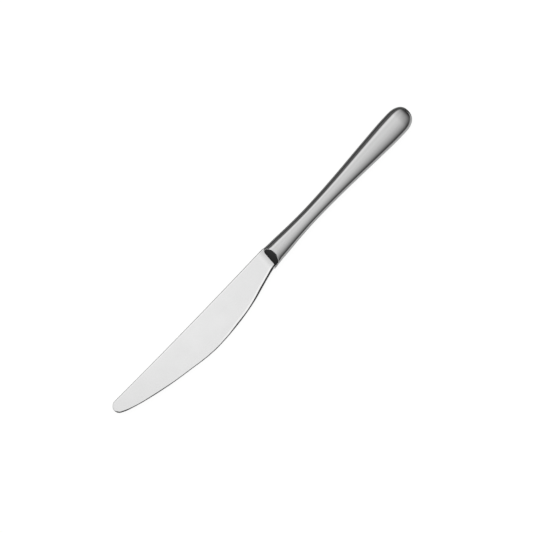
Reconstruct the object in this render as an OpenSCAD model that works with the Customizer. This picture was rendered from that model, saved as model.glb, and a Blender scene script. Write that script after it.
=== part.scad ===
// Table knife with a one-piece blade and bolster set into a hollow handle
// It lies on its side: X runs along the knife towards the handle's far end,
// Y runs from the cutting edge towards the spine, and Z is square to the blade's cheeks

/* [Blade] */
// Length of the blade from its tip to the half-moon step at the handle
blade_length = 121; // [90:0.5:150]
// Distance from the handle's axis to the spine beside the step
spine_offset = 6.3; // [5.8:0.1:7.5]
// How much further the spine stands from the axis at the tip
spine_rise = 1.9; // [0:0.1:3]
// Distance from the handle's axis to the cutting edge beside the step
heel_depth = 6.1; // [5.5:0.1:7]
// Greatest distance from the handle's axis to the cutting edge
belly_depth = 13.6; // [9:0.1:18]
// Radius of the rounded tip
tip_radius = 3.8; // [2.5:0.1:5]
// Angle that the rounded tip turns past its foremost point to meet the cutting edge
tip_turn = 66; // [50:1:75]
// Thickness at the spine beside the step
spine_thickness = 2.4; // [1.8:0.1:3]
// Thickness at the spine at the tip
tip_thickness = 1.6; // [1.2:0.1:2]
// Thickness at the belly, where the edge bevel begins
belly_thickness = 0.8; // [0.6:0.1:1.2]
// Thickness left at the cutting edge
edge_thickness = 0.3; // [0.1:0.05:0.4]
// Width of the bevel along the cutting edge and round the tip
edge_bevel = 0.6; // [0.3:0.1:1]
// Width of the small chamfer along the spine
spine_chamfer = 0.25; // [0.1:0.05:0.4]

/* [Handle] */
// Length of the handle from the half-moon step to its far end
handle_length = 113.5; // [95:0.5:130]
// Width at the step
bolster_width = 12.3; // [11:0.1:13]
// Thickness at the step
bolster_thickness = 9.2; // [8:0.1:11]
// Distance from the step to the narrowest place
waist_distance = 33.5; // [25:0.5:45]
// Width at the narrowest place
waist_width = 8.9; // [8:0.1:11]
// Thickness at the narrowest place
waist_thickness = 8.2; // [6.5:0.1:9]
// Width at the widest place, near the far end
swell_width = 14.4; // [12:0.1:17]
// Thickness at the widest place
swell_thickness = 9.4; // [8:0.1:12]
// Length of the rounded far end
dome_length = 9.8; // [6:0.1:14]
// Fullness of the oval section, where 2 is an ellipse
section_power = 2.4; // [2:0.1:3]

/* [Bolster] */
// Distance from the step to the joint where the handle shells begin
bolster_length = 7; // [5:0.5:10]
// How far the sloping face of the half-moon step runs back along the top
step_run = 3.8; // [2.5:0.1:4.5]
// Angle by which the step's straight edge is turned from square, leading at the cutting edge
step_skew = 5; // [0:1:8]
// Length of the oval spigot that plugs the mouth of the shells
spigot_length = 4; // [3:0.5:6]
// Gap all round between the spigot and the shells
spigot_gap = 0.1; // [0.05:0.05:0.3]

/* [Shells] */
// Wall of the two pressed half-shells
shell_wall = 0.8; // [0.5:0.05:1]
// Thickness of the brazed seam between the half-shells
seam_thickness = 0.12; // [0.06:0.02:0.2]
// Thickness of the braze ring between the bolster and the shells
ring_thickness = 0.12; // [0.06:0.02:0.2]

/* [Tang] */
// Length of the tang beyond the spigot
tang_length = 46; // [30:1:50]
// Width of the tang at the spigot
tang_root_width = 5; // [4:0.1:5.4]
// Width of the tang at its far end
tang_end_width = 3.4; // [3:0.1:4]
// Thickness of the tang
tang_thickness = 2.6; // [2:0.1:3]
// Number of keying notches along each side
notch_count = 3; // [1:1:4]
// Length of each notch
notch_length = 3; // [2:0.5:5]
// Depth of each notch
notch_depth = 0.5; // [0.3:0.1:0.8]

/* [Filler] */
// Length of the cement plug, from the spigot into the handle
filler_length = 58; // [52:1:68]
// Gap left round the cement where it shrank in setting
filler_gap = 0.06; // [0.02:0.02:0.12]

/* [Hidden] */

// Where the belly is deepest, as a share of the blade's length from the step
belly_share = 0.44;
// Outline of the cutting edge: share of the blade's length from the step,
// and share of the way from the heel's depth to the belly's depth
edge_shares = [[0.03, 0.01], [0.1, 0.27], [0.19, 0.62], [0.3, 0.88], [belly_share, 1], [0.52, 0.92],
    [0.6, 0.71], [0.74, 0.29], [0.87, -0.24], [0.955, -0.7]];
// Handle outline from the step to the waist: share of the way, and share of the extra width left
neck_shares = [[0, 1], [0.12, 0.76], [0.27, 0.63], [0.6, 0.23], [1, 0]];
// Handle outline from the waist to the round end: share of the way, and share of the extra width gained
swell_shares = [[0, 0], [0.18, 0.07], [0.38, 0.27], [0.66, 0.67], [0.88, 0.96], [0.95, 1], [1, 1]];

// Steps along the blade and round each half of its tip
blade_steps = 40;
tip_steps = 8;
// Steps along the bolster, from the shells' mouth to the waist, from there to the round end, and over it
bolster_steps = 4;
neck_steps = 8;
swell_steps = 16;
dome_steps = 7;
// Steps round half of the oval section
half_steps = 14;

// How far a solid runs on into its neighbour so that they join
overrun = 0.5;
// Buried front of the bolster inside the blade, and its width there as a share of the full width
nose_length = 2.5;
nose_share = 0.85;
// How far the back end of the blade plate reaches into the bolster, and how far its corners draw in
root_reach = 1.5;
root_inset = 1.2;
// Stock left on the cheeks before they are ground flat, as a share of the bevel's and chamfer's height
stock_share = 0.2;

dome_start = handle_length - dome_length;
mouth_x = bolster_length + ring_thickness;
spigot_end = bolster_length + spigot_length;
filler_start = spigot_end + filler_gap;

// Each cheek is one plane through three named thicknesses:
// at the spine by the step, at the spine at the tip, and at the belly
belly_x = -belly_share * blade_length;
tip_span = tip_radius - blade_length;
cheek_across = (spine_thickness / 2 - belly_thickness / 2
    + (tip_thickness - spine_thickness) / 2 * belly_x / tip_span)
    / (spine_offset + belly_depth + spine_rise * belly_x / tip_span);
cheek_along = ((tip_thickness - spine_thickness) / 2 - cheek_across * spine_rise) / tip_span;
function cheek_z(p) = spine_thickness / 2 + cheek_along * p[0] + cheek_across * (p[1] - spine_offset);

// The step's sloping face meets the cheek at the axis and the top of the bolster one run further back
step_foot = cheek_z([0, 0]);
step_rise = bolster_thickness / 2 - step_foot;
step_toe = step_foot * step_run / step_rise;

// Value at the share k of the way from a to b
function between(a, b, k) = a + (b - a) * k;

// Slope at point i of a list of [x, y] points, with the two end slopes given
function slope_at(p, i, first, last) =
    i == 0 ? first :
    i == len(p) - 1 ? last :
    (p[i + 1][1] - p[i - 1][1]) / (p[i + 1][0] - p[i - 1][0]);

// Smooth curve through a list of [x, y] points with rising x, read at one x
function curve_at(p, x, first = 0, last = 0) =
    let (
        i = max([for (k = [0:len(p) - 2]) if (k == 0 || p[k][0] <= x) k]),
        w = p[i + 1][0] - p[i][0],
        s = (x - p[i][0]) / w,
        a = slope_at(p, i, first, last) * w,
        b = slope_at(p, i + 1, first, last) * w
    )
    p[i][1] * (1 + 2 * s) * pow(1 - s, 2) + a * s * pow(1 - s, 2)
        + p[i + 1][1] * s * s * (3 - 2 * s) - b * s * s * (1 - s);

// Rounded tip: an arc that leaves the spine smoothly and meets the cutting edge smoothly
function spine_y(x) = spine_offset + spine_rise * pow(x / blade_length, 2);
tip_tilt = atan(2 * spine_rise / blade_length);
tip_top_x = tip_span + tip_radius * sin(tip_tilt);
tip_centre = [tip_span, spine_y(tip_top_x) - tip_radius * cos(tip_tilt)];
function tip_point(a) = tip_centre + tip_radius * [cos(a), sin(a)];
edge_end = tip_point(180 + tip_turn);
edge_points = concat(
    [[0, heel_depth]],
    [for (s = edge_shares) [s[0] * blade_length, between(heel_depth, belly_depth, s[1])]],
    [[-edge_end[0], -edge_end[1]]]
);
function edge_y(x) = -curve_at(edge_points, -x, 0, -1 / tan(tip_turn));

// Blade outline from the spine's back corner, round the tip, to the edge's back corner
spine_line = concat(
    [[root_reach, spine_offset - root_inset]],
    [for (i = [0:blade_steps]) let (x = tip_top_x * i / blade_steps) [x, spine_y(x)]],
    [for (i = [1:tip_steps]) tip_point(between(90 - tip_tilt, 180, i / tip_steps))]
);
edge_line = concat(
    [[root_reach, root_inset - heel_depth]],
    [for (i = [0:blade_steps]) let (x = edge_end[0] * i / blade_steps) [x, edge_y(x)]],
    [for (i = [1:tip_steps]) tip_point(180 + tip_turn * (1 - i / tip_steps))]
);
side_count = len(spine_line);
blade_loop = concat(spine_line, [for (i = [side_count - 2:-1:0]) edge_line[i]]);
loop_count = len(blade_loop);

// Share of the way from spine chamfer to edge bevel at each point of the loop
function bevel_share(i) =
    i <= blade_steps + 1 ? 0 :
    i >= side_count - 1 ? 1 :
    (i - blade_steps - 1) / tip_steps;

// Unit vector into the blade, square to the loop at point i
function inward(i) =
    let (
        a = blade_loop[max(i - 1, 0)],
        b = blade_loop[min(i + 1, loop_count - 1)],
        d = b - a
    )
    [-d[1], d[0]] / norm(d);

// Inner line of the bevel and chamfer, where the flat cheek begins
cheek_loop = [for (i = [0:loop_count - 1])
    i == 0 ? blade_loop[i] - [0, spine_chamfer] :
    i == loop_count - 1 ? blade_loop[i] + [0, edge_bevel] :
    blade_loop[i] + inward(i) * between(spine_chamfer, edge_bevel, bevel_share(i))];

// Extent of the whole knife, which sets where its own frame stands
mid_x = (handle_length - blade_length) / 2;
mid_y = (max([for (p = blade_loop) p[1]]) + min([for (p = blade_loop) p[1]])) / 2;
rest_height = max(swell_thickness, bolster_thickness) / 2;

// Two triangles for a four-sided patch, leaving out any that has no area
function patch(a, b, c, d) =
    [for (f = [[a, b, c], [a, c, d]]) if (f[0] != f[1] && f[1] != f[2] && f[0] != f[2]) f];

// Half width or half thickness of the handle at x, drawn in by an inset
function handle_half(x, step_size, waist_size, swell_size, inset) =
    x <= 0 ? step_size / 2 * between(1, nose_share, -x / nose_length) - inset :
    x <= waist_distance ?
        between(waist_size, step_size, curve_at(neck_shares, x / waist_distance)) / 2 - inset :
    x <= dome_start ?
        between(waist_size, swell_size,
            curve_at(swell_shares, (x - waist_distance) / (dome_start - waist_distance))) / 2 - inset :
    (swell_size / 2 - inset) * sqrt(max(0, 1 - pow((x - dome_start) / (dome_length - inset), 2)));
function half_width(x, inset = 0) = handle_half(x, bolster_width, waist_width, swell_width, inset);
function half_thickness(x, inset = 0) =
    handle_half(x, bolster_thickness, waist_thickness, swell_thickness, inset);

// Point of the oval section at an angle, as [across, up]
function oval_point(x, a, inset = 0) = [
    sign(cos(a)) * half_width(x, inset) * pow(abs(cos(a)), 2 / section_power),
    sign(sin(a)) * half_thickness(x, inset) * pow(abs(sin(a)), 2 / section_power)
];
function oval(x, inset = 0) =
    [for (i = [0:2 * half_steps - 1]) oval_point(x, 180 * i / half_steps, inset)];

// Places along the handle from the shells' mouth to the start of the round end
body_stations = concat(
    [for (i = [0:neck_steps - 1]) between(mouth_x, waist_distance, i / neck_steps)],
    [for (i = [0:swell_steps]) between(waist_distance, dome_start, i / swell_steps)]
);
// The same, carried on over the round end as far as the last ring before its point
function shell_stations(inset) = concat(
    body_stations,
    [for (i = [1:dome_steps - 1]) dome_start + (dome_length - inset) * sin(90 * i / dome_steps)]
);

// Solid oval bar through a list of places along the handle
module oval_bar(stations, inset) {
    m = 2 * half_steps;
    n = len(stations);
    points = [for (x = stations) for (q = oval(x, inset)) [x, q[0], q[1]]];
    skin = [for (u = [0:n - 2]) for (v = [0:m - 1])
        each patch(u * m + v, (u + 1) * m + v, (u + 1) * m + (v + 1) % m, u * m + (v + 1) % m)];
    ends = [[for (v = [0:m - 1]) v], [for (v = [m - 1:-1:0]) (n - 1) * m + v]];
    polyhedron(points, concat(skin, ends), convexity = 4);
}

// Blade blank with an edge bevel and a chamfered spine, carried on past the cheeks by their stock
module blade_blank() {
    n = loop_count;
    rim = [for (i = [0:n - 1])
        let (z = between(cheek_z(blade_loop[i]) - spine_chamfer / 2, edge_thickness / 2, bevel_share(i)))
        [blade_loop[i][0], blade_loop[i][1], z]];
    face = [for (i = [0:n - 1])
        let (q = [cheek_loop[i][0], cheek_loop[i][1], cheek_z(cheek_loop[i])])
        q + (q - rim[i]) * stock_share];
    rings = [
        rim,
        face,
        [for (q = face) [q[0], q[1], -q[2]]],
        [for (q = rim) [q[0], q[1], -q[2]]]
    ];
    points = [for (r = rings) each r];
    sides = [for (i = [0:n - 2])
        each concat(
            patch(n + i, n + i + 1, i + 1, i),
            patch(3 * n + i, 3 * n + i + 1, 2 * n + i + 1, 2 * n + i),
            patch(i, i + 1, 3 * n + i + 1, 3 * n + i)
        )];
    cheeks = [for (i = [0:side_count - 2])
        each concat(
            patch(2 * n - 1 - i, 2 * n - 2 - i, n + i + 1, n + i),
            patch(2 * n + i, 2 * n + i + 1, 3 * n - 2 - i, 3 * n - 1 - i)
        )];
    back = [[3 * n, 2 * n, 3 * n - 1, 4 * n - 1, n - 1, 2 * n - 1, n, 0]];
    polyhedron(points, concat(sides, cheeks, back), convexity = 4);
}

// Block whose underside is the plane of the upper cheek
module cheek_grind() {
    lean = asin(cheek_across / norm([cheek_along, cheek_across, 1]));
    translate([0, 0, step_foot])
        rotate([lean, -atan(cheek_along), 0])
            translate([0, 0, spine_thickness / 2])
                cube([3 * blade_length, blade_length, spine_thickness], center = true);
}

// Blade plate: the blank with both its cheeks ground to flat tapering planes
module blade_plate() {
    difference() {
        blade_blank();
        cheek_grind();
        mirror([0, 0, 1]) cheek_grind();
    }
}

// Room in front of one sloping face of the half-moon step
module step_room() {
    reach = blade_length / 2;
    slope = step_rise / step_run;
    rotate([0, 0, -step_skew])
        rotate([90, 0, 0])
            linear_extrude(2 * bolster_width, center = true)
                polygon([
                    [-reach, 0],
                    [-step_toe, 0],
                    [-step_toe + bolster_thickness / slope, bolster_thickness],
                    [-reach, bolster_thickness]
                ]);
}

// Oval bolster with a half-moon step cut into each side of its front
module bolster() {
    difference() {
        oval_bar(concat(
            [-nose_length],
            [for (i = [0:bolster_steps]) bolster_length * i / bolster_steps]
        ), 0);
        step_room();
        mirror([0, 0, 1]) step_room();
    }
}

// Spigot that plugs the shells' mouth
module spigot() {
    translate([bolster_length - overrun, 0, 0])
        rotate([90, 0, 90])
            linear_extrude(spigot_length + overrun)
                polygon(oval(spigot_end, shell_wall + spigot_gap));
}

// Tapering flat tang with keying notches, grown by a gap on every side
module tang(gap = 0) {
    pitch = tang_length / (notch_count + 1);
    side = concat(
        [[spigot_end - overrun, tang_root_width / 2 + gap]],
        [for (i = [1:notch_count])
            let (
                x = spigot_end + i * pitch,
                half = between(tang_root_width, tang_end_width, i / (notch_count + 1)) / 2 + gap,
                reach = notch_length / 2 - gap
            )
            each [
                [x - reach, half],
                [x - reach, half - notch_depth],
                [x + reach, half - notch_depth],
                [x + reach, half]
            ]],
        [[spigot_end + tang_length + gap, tang_end_width / 2 + gap]]
    );
    linear_extrude(tang_thickness + 2 * gap, center = true)
        polygon(concat(side, [for (i = [len(side) - 1:-1:0]) [side[i][0], -side[i][1]]]));
}

// Pressed half-shell, the upper one, with its seam edge just above the middle plane
module half_shell() {
    m = half_steps + 1;
    n = len(body_stations) + dome_steps - 1;
    points = [for (inset = [0, shell_wall]) each concat(
        [for (x = shell_stations(inset)) for (i = [0:half_steps])
            let (q = oval_point(x, 180 * i / half_steps, inset))
            [x, q[0], max(q[1], seam_thickness / 2)]],
        [[handle_length - inset, 0, seam_thickness / 2]]
    )];
    skin = n * m + 1;
    function outer(u, v) = u == n ? n * m : u * m + v;
    function inner(u, v) = skin + outer(u, v);
    walls = [for (u = [0:n - 1]) for (v = [0:half_steps - 1])
        each concat(
            patch(outer(u, v), outer(u + 1, v), outer(u + 1, v + 1), outer(u, v + 1)),
            patch(inner(u, v), inner(u, v + 1), inner(u + 1, v + 1), inner(u + 1, v))
        )];
    mouth = [for (v = [0:half_steps - 1])
        each patch(outer(0, v), outer(0, v + 1), inner(0, v + 1), inner(0, v))];
    seam = [for (u = [0:n - 1])
        each concat(
            patch(outer(u, 0), inner(u, 0), inner(u + 1, 0), outer(u + 1, 0)),
            patch(outer(u, half_steps), outer(u + 1, half_steps),
                inner(u + 1, half_steps), inner(u, half_steps))
        )];
    polyhedron(points, concat(walls, mouth, seam), convexity = 6);
}

// Outline of the handle in the middle plane, from one side of the mouth round to the other
function handle_outline(inset) =
    let (xs = shell_stations(inset), n = len(xs))
    concat(
        [for (x = xs) [x, half_width(x, inset)]],
        [[handle_length - inset, 0]],
        [for (i = [n - 1:-1:0]) [xs[i], -half_width(xs[i], inset)]]
    );

// The knife's own frame: middle of its length and breadth, on the surface that it lies on
module in_frame() {
    translate([-mid_x, -mid_y, rest_height]) children();
}

module blade() {
    color("gainsboro")
        in_frame() {
            blade_plate();
            bolster();
            spigot();
            tang();
        }
}

module handle_shell_upper() {
    color("silver")
        in_frame() half_shell();
}

module handle_shell_lower() {
    color("darkgray")
        in_frame() mirror([0, 0, 1]) half_shell();
}

module seam_braze() {
    color("khaki")
        in_frame()
            linear_extrude(seam_thickness, center = true)
                polygon(concat(
                    handle_outline(0),
                    [for (i = [2 * len(shell_stations(0)):-1:0]) handle_outline(shell_wall)[i]]
                ));
}

module bolster_braze() {
    color("goldenrod")
        in_frame()
            translate([bolster_length, 0, 0])
                rotate([90, 0, 90])
                    linear_extrude(ring_thickness)
                        difference() {
                            polygon(oval(mouth_x));
                            polygon(oval(mouth_x, shell_wall));
                        }
}

module handle_filler() {
    color("tan")
        in_frame()
            difference() {
                oval_bar(
                    concat(
                        [filler_start],
                        [for (x = body_stations)
                            if (x > filler_start + overrun && x < filler_start + filler_length - overrun) x],
                        [filler_start + filler_length]
                    ),
                    shell_wall + filler_gap
                );
                tang(filler_gap);
            }
}

blade();
handle_shell_upper();
handle_shell_lower();
seam_braze();
bolster_braze();
handle_filler();
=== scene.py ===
import math

import bmesh
import bpy
from bpy.props import FloatProperty, FloatVectorProperty, IntProperty, PointerProperty
from mathutils import Matrix, Vector


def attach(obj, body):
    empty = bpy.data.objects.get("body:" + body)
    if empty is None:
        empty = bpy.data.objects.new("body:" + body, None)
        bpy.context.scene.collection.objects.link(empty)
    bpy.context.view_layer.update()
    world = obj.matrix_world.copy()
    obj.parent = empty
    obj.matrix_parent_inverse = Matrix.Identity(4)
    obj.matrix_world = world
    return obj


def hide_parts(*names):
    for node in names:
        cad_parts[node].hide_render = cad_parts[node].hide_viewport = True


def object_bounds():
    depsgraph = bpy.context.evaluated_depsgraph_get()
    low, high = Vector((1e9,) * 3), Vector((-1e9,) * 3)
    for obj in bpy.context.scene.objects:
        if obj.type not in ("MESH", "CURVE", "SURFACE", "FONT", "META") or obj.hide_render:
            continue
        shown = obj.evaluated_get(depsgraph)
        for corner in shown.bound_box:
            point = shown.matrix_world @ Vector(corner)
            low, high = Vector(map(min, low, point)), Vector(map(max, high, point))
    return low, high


bl_info = {
    "name": "Table Knife",
    "version": (1, 0, 0),
    "blender": (4, 5, 0),
    "location": "3D View > Sidebar > Table Knife",
    "description": "Builds the visible pieces of a table knife round its packed solids",
    "category": "Add Mesh",
}

MM = 0.001

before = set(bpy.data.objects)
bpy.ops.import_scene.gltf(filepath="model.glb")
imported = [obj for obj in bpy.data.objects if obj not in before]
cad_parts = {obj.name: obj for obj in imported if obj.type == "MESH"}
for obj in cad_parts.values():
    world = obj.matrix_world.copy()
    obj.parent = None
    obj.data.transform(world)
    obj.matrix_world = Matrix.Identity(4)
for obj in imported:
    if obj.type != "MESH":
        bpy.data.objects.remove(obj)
CAD_LOW, CAD_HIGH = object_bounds()

# Outline of the cutting edge: share of the blade's length from the step, share from heel depth to belly depth
EDGE_SHARES = [
    (0.03, 0.01), (0.1, 0.27), (0.19, 0.62), (0.3, 0.88), (0.44, 1.0), (0.52, 0.92),
    (0.6, 0.71), (0.74, 0.29), (0.87, -0.24), (0.955, -0.7),
]
BELLY_SHARE = 0.44
# Where the dark edge bevel ends, as (millimetres from the step, millimetres in from the cutting edge)
BEVEL_ENDS = [
    (0, 1.9), (1, 1.75), (3, 1.5), (7, 1.26), (15, 1.25), (20, 1.12), (27, 0.9), (31, 0.87), (36, 0.98),
    (40, 0.96), (46, 0.72), (60, 0.68), (80, 0.62), (98, 0.76), (110, 0.66), (117, 0.8),
]
# Handle outline from the step to the waist, and from the waist to the round end
NECK_SHARES = [(0.0, 1.0), (0.12, 0.76), (0.27, 0.63), (0.6, 0.23), (1.0, 0.0)]
SWELL_SHARES = [(0.0, 0.0), (0.18, 0.07), (0.38, 0.27), (0.66, 0.67), (0.88, 0.96), (0.95, 1.0), (1.0, 1.0)]
# Lines over the half-moon, each as two points (x, y) in millimetres. To the left of these its rim was eased by
# hand, and to the left of the one for the corner the cheek runs on
EASE_LINES = [
    [(1.0, 4.97), (2.7, 4.92)], [(3.25, 4.5), (4.95, 2.1)],
    [(2.4, -5.1), (-1.0, -5.2)], [(4.45, -0.8), (2.7, -4.4)],
]
CORNER_LINE = [(0.34, 3.75), (0.95, 4.95)]

# The blade's plate goes on into the bolster: flat cheek, then sides drawn in at a slope, to its end
PLATE_PAST, PLATE_DRAW_IN, PLATE_END, PLATE_SLOPE = 1.2 * MM, 1.2 * MM, 4.0 * MM, 0.1
# The cheek's rise at the step: the share of the run-out that it goes on past the step, and its power
RUNOUT_PAST, RUNOUT_POWER = 0.3, 2.5
# Turns round the tip where the spine's rounding thins and where the edge's bevel takes over, and over how much
ROUND_THINS, ROUND_SPREAD = math.radians(95), math.radians(30)
BEVEL_BEGINS, BEVEL_SPREAD = math.radians(172), math.radians(32)
# Points in the quarter round of the spine's arris, and the strips of flat cheek inside it
ROUND_STEPS = 5
SPINE_STRIP = 0.6 * MM
# The cutting edge is eased by this much in and down
EDGE_EASE_IN, EDGE_EASE_DOWN = 0.02 * MM, 0.05 * MM
# Least width of the bevel, and the strips of flat cheek inside it and inside the margin
BEVEL_LEAST, BEVEL_STRIP, MARGIN_STRIP = 0.2 * MM, 0.2 * MM, 0.4 * MM
# Where the margin's lean and its finish begin, from the step, and over what distances the lean grows and fades
LEAN_BEGINS, LEAN_GROWS, LEAN_FADES, MARGIN_BEGINS = 1.5 * MM, 2 * MM, 8 * MM, 2.5 * MM
# The plate's lines, counted in from its outline, that bound its bevel and its margin
BEVEL_LINES, MARGIN_LINES = (4, 5), (6, 7)
# How far from the spine the edge's side begins
EDGE_SIDE = 6 * MM
# How far above its place each line is bridged
BRIDGE_HEIGHT = 5 * MM
# The bolster's bar before it is cut: its front runs straight on ahead of the step, so that the rim has long
# faces to be rounded into, and its back is where the handle's own outline begins
BAR_FRONT, BAR_BACK = -3.0 * MM, 5.4 * MM
# Strips in the rounding of the half-moon's rim
RIM_STRIPS = 2
# How far the spigot and the tang start inside what they join, the tang's keying notches and their ends' slope
OVERLAP, NOTCHES, NOTCH_SLOPE = 0.5 * MM, 3, 0.1 * MM
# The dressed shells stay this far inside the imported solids' facets
SHELL_INSET = 0.003 * MM
# Edges that turn by more than this are shown sharp
BLADE_CREASE, SHELL_CREASE = math.radians(24), math.radians(30)
# Places nearer than this are one, with a finer limit for cuts and merges and one between them for the mirror's
# middle; directions this alike are one
NEAR, FINE, MIDDLE, ALIKE = 1e-6, 1e-8, 1e-7, 0.9999

# Finishes of steel in the order of the blade's material slots, each as (name, colour, roughness, width of its
# buffing lines and their depth, both in millimetres)
CHEEK, MARGIN, BOLSTER, RIM, STEP = range(5)
STEELS = [
    # Martensitic stainless cutlery steel, ground flat and mirror-buffed: bright, even and almost without lines
    ("Mirror-buffed cutlery stainless steel", "blade_colour", "blade_roughness", 0.35, 0.002),
    # The same steel in a thin strip just inside the edge bevel, given a brighter colour: a painted highlight
    # line, on top of the real light that the strip's lean catches
    ("Hard-buffed margin of cutlery stainless steel", "margin_colour", "blade_roughness", 0.35, 0.002),
    # Pressed stainless steel buffed along the handle, and the bolster buffed with it: a greyer, softer mirror
    ("Buffed pressed stainless steel", "handle_colour", "handle_roughness", 0.4, 0.003),
    # The half-moon's rim where it was eased by hand with a fine belt: matt, so it stays pale all round
    ("Belt-eased stainless steel", "blade_colour", "rim_roughness", 0.25, 0.004),
    # The flat of the half-moon lapped to a true mirror: it shows the dark room as black
    ("Lapped stainless steel", "handle_colour", "step_roughness", 0.4, 0.0),
]

# Light round the knife, as (degrees from the camera's direction, level): across the knife with the spine's side
# positive, and along it with the handle's end positive
ACROSS = [
    (-180, 0.8), (-120, 0.6), (-100, 0.6), (-94, 0.55), (-91, 0.36), (-87, 0.08), (-80, 0.06), (-72, 0.08),
    (-60, 0.2), (-50, 0.335), (-40, 0.478), (-30, 0.62), (-20, 0.738), (-10, 0.9), (-2, 1.0), (10, 0.98),
    (20, 1.0), (30, 1.24), (36, 1.08), (46, 1.02), (49, 0.28), (54, 0.17), (60, 0.12), (70, 0.17), (76, 0.2),
    (81, 0.15), (86, 0.05), (95, 0.05), (120, 0.5), (180, 0.8),
]
ALONG = [
    (-90, 0.01), (-76, 0.02), (-60, 0.05), (-45, 0.16), (-30, 0.46), (-20, 0.64), (-12, 0.78), (-8, 0.84),
    (-6, 0.91), (-4, 0.99), (-3, 1.03), (-2, 1.035), (-1.2, 1.0), (0, 0.87), (2, 0.95), (10, 0.95), (18, 0.79),
    (25, 0.69), (33, 0.56), (43, 0.39), (60, 0.08), (90, 0.02),
]
# Faint light of the room's far ends, by the angle along the knife alone
ROOM = [
    (-90, 0.0), (-53, 0.0), (-47, 0.1), (-32, 0.1), (-20, 0.0), (18, 0.0), (32, 0.06), (42, 0.1), (55, 0.1),
    (66, 0.04), (78, 0.0), (90, 0.0),
]
# The panel hangs a little askew: between the first two of these degrees along the knife it swings across the
# knife, by the third
SKEW = (0, 45, -12)
# Painted reflection of the floor, a glow that only the steel's reflections see, as (millimetres from its axis
# towards the spine's side, level): dark beside the knife as painted shadow, lighter bands further out as
# painted light
PAINTED_FLOOR_REFLECTION = [
    (-400, 0.45), (-50, 0.52), (-22, 0.6), (-12, 0.57), (-8, 0.22), (-5, 0.08), (5, 0.05), (8, 0.16),
    (11, 0.24), (16, 0.24), (22, 0.05), (400, 0.05),
]
# The floor's width in metres, the paper's grey, and how much of white the camera sees it lifted by
FLOOR_WIDTH, PAPER_GREY, PAPER_LIFT = 6, 0.3, 0.9
# Width of the camera's sensor in millimetres, and the nearest and furthest that it sees in metres
SENSOR, SEEN_FROM, SEEN_TO = 36, 0.01, 20


def srgb(code):
    """Linear colour of an sRGB hex value."""
    parts = [int(code[i:i + 2], 16) / 255 for i in (1, 3, 5)]
    return tuple(c / 12.92 if c <= 0.04045 else ((c + 0.055) / 1.055) ** 2.4 for c in parts)


def length(name, description, size, low=0.0):
    """A length property, given in millimetres and kept in metres."""
    return FloatProperty(name=name, description=description, default=size * MM, min=low, precision=5,
                         subtype="DISTANCE", unit="LENGTH")


def angle(name, description, degrees):
    """An angle property, given in degrees."""
    return FloatProperty(name=name, description=description, default=math.radians(degrees),
                         subtype="ANGLE", unit="ROTATION")


def number(name, description, value, low=0.0, high=1.0):
    """A plain number property, a share unless it says otherwise."""
    return FloatProperty(name=name, description=description, default=value, min=low, max=high, precision=4)


def count(name, description, value, low):
    """A whole number property."""
    return IntProperty(name=name, description=description, default=value, min=low)


def colour(name, description, code):
    """A colour property, given as an sRGB hex value and kept linear."""
    return FloatVectorProperty(name=name, description=description, default=srgb(code), size=3, min=0.0,
                               max=1.0, subtype="COLOR")


class KnifeBladeSizes(bpy.types.PropertyGroup):
    """Sizes of the blade, its bevels and its tang."""
    blade_length: length("Blade length", "From the tip to the half-moon step", 121)
    spine_offset: length("Spine offset", "From the handle's axis to the spine beside the step", 6.3)
    spine_rise: length("Spine rise", "How much further the spine stands from the axis at the tip", 1.9)
    heel_depth: length("Heel depth", "From the axis to the cutting edge beside the step", 6.1)
    belly_depth: length("Belly depth", "Greatest distance from the axis to the cutting edge", 13.6)
    tip_radius: length("Tip radius", "Radius of the rounded tip", 3.8)
    tip_turn: angle("Tip turn", "How far the tip turns past its foremost point", 66)
    spine_thickness: length("Spine thickness", "At the spine beside the step", 2.4)
    tip_thickness: length("Tip thickness", "At the spine at the tip", 1.6)
    belly_thickness: length("Belly thickness", "At the belly, where the edge bevel begins", 0.8)
    edge_thickness: length("Edge thickness", "Least left at the cutting edge", 0.2)
    spine_round: length("Spine rounding", "Radius of the eased arrises along the spine", 0.3)
    tip_round: number("Tip rounding", "The same round the tip, as a share", 0.5)
    edge_land: length("Edge land", "Bright land outside the bevel, along the cutting edge", 0.22)
    heel_land: length("Heel land", "The same land beside the step, where it is widest", 1.0)
    tip_land: length("Tip land", "The same land near the tip, where it is narrowest", 0.06)
    land_fade: length("Land fade", "Distance over which the land narrows, at either end", 4)
    edge_angle: angle("Edge angle", "Slope of the steep bevel along the cutting edge", 31)
    # The bright line is partly painted highlight: its strip gets a brighter steel colour than the cheek
    edge_margin: length("Edge margin", "Width of the bright line buffed inside the bevel", 0.6)
    margin_rise: length("Margin rise", "How far the bright line's outer side stands above the cheek", 0.06)
    margin_length: length("Margin length", "How far from the step the bright line goes on", 54)
    runout_length: length("Run-out length", "How far ahead of the step the cheek starts to rise", 5)
    runout_rise: length("Run-out rise", "How much the cheek has risen at the step", 0.26)
    runout_steps: count("Run-out steps", "Lines across the run-out", 10, 3)
    tang_length: length("Tang length", "Length of the tang beyond the spigot", 46)
    tang_root_width: length("Tang root width", "Width of the tang at the spigot", 5.0)
    tang_end_width: length("Tang end width", "Width of the tang at its far end", 3.4)
    tang_thickness: length("Tang thickness", "Thickness of the tang", 2.6)
    notch_length: length("Notch length", "Length of each keying notch", 3.0)
    notch_depth: length("Notch depth", "Depth of each keying notch", 0.5)
    steps: count("Steps", "Points along each side of the blade", 60, 12)
    tip_steps: count("Tip steps", "Points round each half of the tip", 16, 4)


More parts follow.
